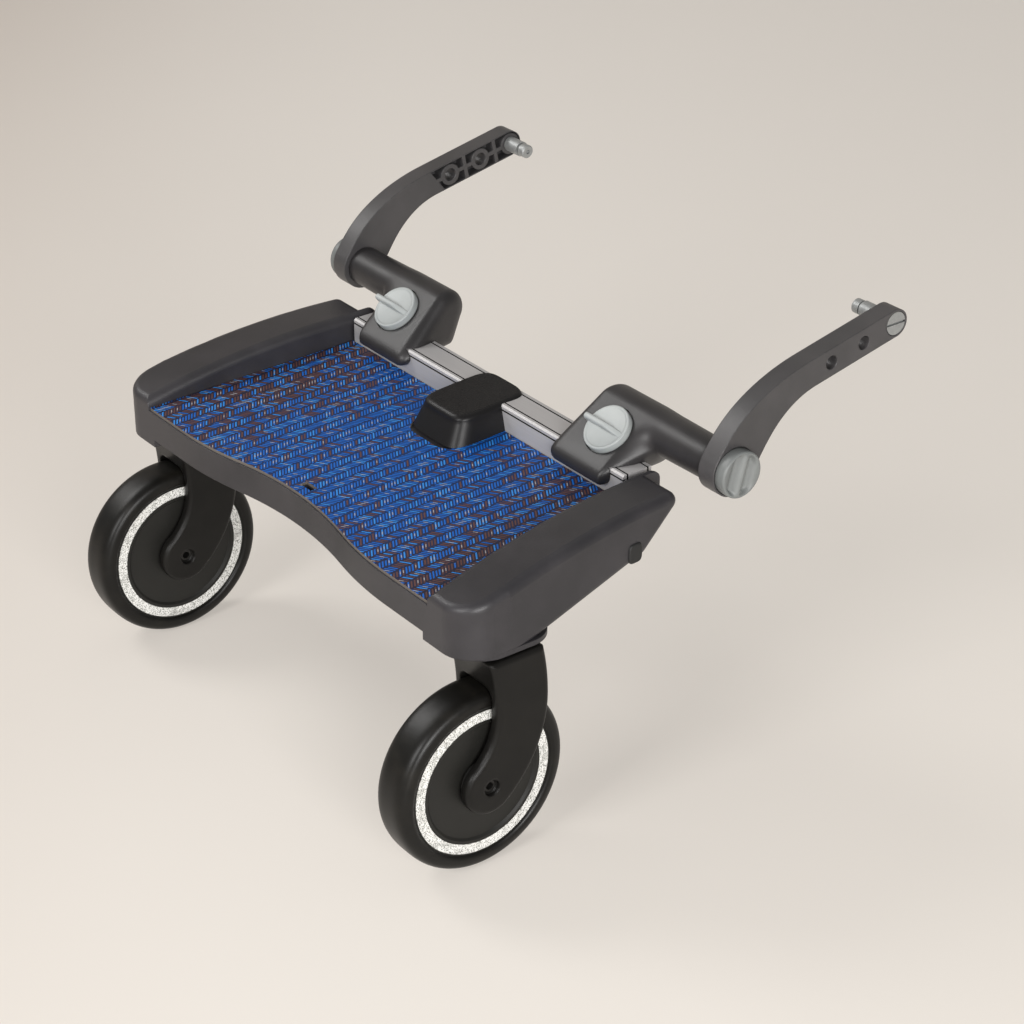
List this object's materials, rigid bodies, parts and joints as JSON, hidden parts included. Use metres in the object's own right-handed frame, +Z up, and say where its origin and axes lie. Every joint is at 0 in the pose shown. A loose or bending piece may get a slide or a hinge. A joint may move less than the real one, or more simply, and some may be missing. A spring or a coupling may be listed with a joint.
{
  "type": "buggy board",
  "caption": "Stand-on platform on two swivel castors with sliding brackets and tilting arms that hook behind a stroller.",
  "frame": {"origin": "on the floor under the wheels, midway along the part's whole length and width", "axes": "+X to the board's right, +Y towards the stroller, +Z up from the floor"},
  "size_m": [0.4328, 0.3886, 0.3013],
  "materials": {
    "moulded_plastic": "fine-textured charcoal moulded plastic",
    "mat": "printed non-slip mat, blue and dark brown with fine pale dashes",
    "rail_aluminium": "satin silver extrusion",
    "plug_rubber": "black rubber",
    "knob_plastic": "light grey moulded plastic",
    "pin_zinc": "dull mottled zinc-grey metal",
    "wheel_plastic": "black moulded plastic",
    "tyre_rubber": "black solid rubber",
    "reflector": "speckled silver-white reflective band",
    "steel": "bright steel",
    "nylon": "natural acetal or nylon",
    "brass_insert": "turned brass"
  },
  "bodies": {
    "deck": {"deck": "moulded_plastic", "deck_mat": "mat", "mount_rail": "rail_aluminium", "rail_screws": "steel", "centre_block": "moulded_plastic", "housing_screws": "steel", "castor_housing_left": "moulded_plastic", "castor_housing_right": "moulded_plastic", "swivel_bushes_left": "nylon", "swivel_bushes_right": "nylon", "side_plug_left": "plug_rubber", "side_plug_right": "plug_rubber"},
    "bracket_left": {"bracket_left": "moulded_plastic", "clamp_shoe_left": "nylon", "arm_insert_left": "brass_insert"},
    "bracket_knob_left": {"bracket_knob_left": "knob_plastic", "bracket_knob_screw_left": "steel"},
    "arm_left": {"arm_left": "moulded_plastic", "coupling_pin_left": "pin_zinc", "pin_screw_left": "pin_zinc"},
    "arm_knob_left": {"arm_knob_left": "knob_plastic", "arm_bolt_left": "steel"},
    "castor_left": {"fork_left": "moulded_plastic", "stem_left": "steel", "stem_clip_left": "steel", "thrust_washer_left": "nylon", "axle_left": "steel"},
    "wheel_left": {"wheel_hub_left": "wheel_plastic", "tyre_left": "tyre_rubber", "reflector_rings_left": "reflector", "wheel_bush_left": "nylon"},
    "bracket_right": {"bracket_right": "moulded_plastic", "clamp_shoe_right": "nylon", "arm_insert_right": "brass_insert"},
    "bracket_knob_right": {"bracket_knob_right": "knob_plastic", "bracket_knob_screw_right": "steel"},
    "arm_right": {"arm_right": "moulded_plastic", "coupling_pin_right": "pin_zinc", "pin_screw_right": "pin_zinc"},
    "arm_knob_right": {"arm_knob_right": "knob_plastic", "arm_bolt_right": "steel"},
    "castor_right": {"fork_right": "moulded_plastic", "stem_right": "steel", "stem_clip_right": "steel", "thrust_washer_right": "nylon", "axle_right": "steel"},
    "wheel_right": {"wheel_hub_right": "wheel_plastic", "tyre_right": "tyre_rubber", "reflector_rings_right": "reflector", "wheel_bush_right": "nylon"}
  },
  "joints": [
    {"name": "bracket_slide_left", "type": "slide", "parent": "deck", "child": "bracket_left", "axis": [-1, 0, 0], "range_m": [-0.05, 0.006]},
    {"name": "bracket_knob_turn_left", "type": "hinge", "parent": "bracket_left", "child": "bracket_knob_left", "pos_m": [-0.1168, 0.02405, 0.22513], "axis": [0, -0.6293, 0.7771], "range_deg": [0, 270]},
    {"name": "arm_tilt_left", "type": "hinge", "parent": "bracket_left", "child": "arm_left", "pos_m": [-0.201, 0.04945, 0.2255], "axis": [1, 0, 0], "range_deg": [-60, 90]},
    {"name": "arm_knob_turn_left", "type": "hinge", "parent": "arm_left", "child": "arm_knob_left", "pos_m": [-0.208, 0.04945, 0.2255], "axis": [-1, 0, 0], "range_deg": [0, 270]},
    {"name": "castor_swivel_left", "type": "hinge", "parent": "deck", "child": "castor_left", "pos_m": [-0.179, -0.11005, 0.149], "axis": [0, 0, 1], "continuous": true},
    {"name": "wheel_spin_left", "type": "hinge", "parent": "castor_left", "child": "wheel_left", "pos_m": [-0.179, -0.13175, 0.0625], "axis": [1, 0, 0], "continuous": true},
    {"name": "bracket_slide_right", "type": "slide", "parent": "deck", "child": "bracket_right", "axis": [1, 0, 0], "range_m": [-0.05, 0.006]},
    {"name": "bracket_knob_turn_right", "type": "hinge", "parent": "bracket_right", "child": "bracket_knob_right", "pos_m": [0.1168, 0.02405, 0.22513], "axis": [0, -0.6293, 0.7771], "range_deg": [0, 270]},
    {"name": "arm_tilt_right", "type": "hinge", "parent": "bracket_right", "child": "arm_right", "pos_m": [0.201, 0.04945, 0.2255], "axis": [1, 0, 0], "range_deg": [-60, 90]},
    {"name": "arm_knob_turn_right", "type": "hinge", "parent": "arm_right", "child": "arm_knob_right", "pos_m": [0.208, 0.04945, 0.2255], "axis": [1, 0, 0], "range_deg": [0, 270]},
    {"name": "castor_swivel_right", "type": "hinge", "parent": "deck", "child": "castor_right", "pos_m": [0.179, -0.11005, 0.149], "axis": [0, 0, 1], "continuous": true},
    {"name": "wheel_spin_right", "type": "hinge", "parent": "castor_right", "child": "wheel_right", "pos_m": [0.179, -0.13175, 0.0625], "axis": [1, 0, 0], "continuous": true}
  ]
}
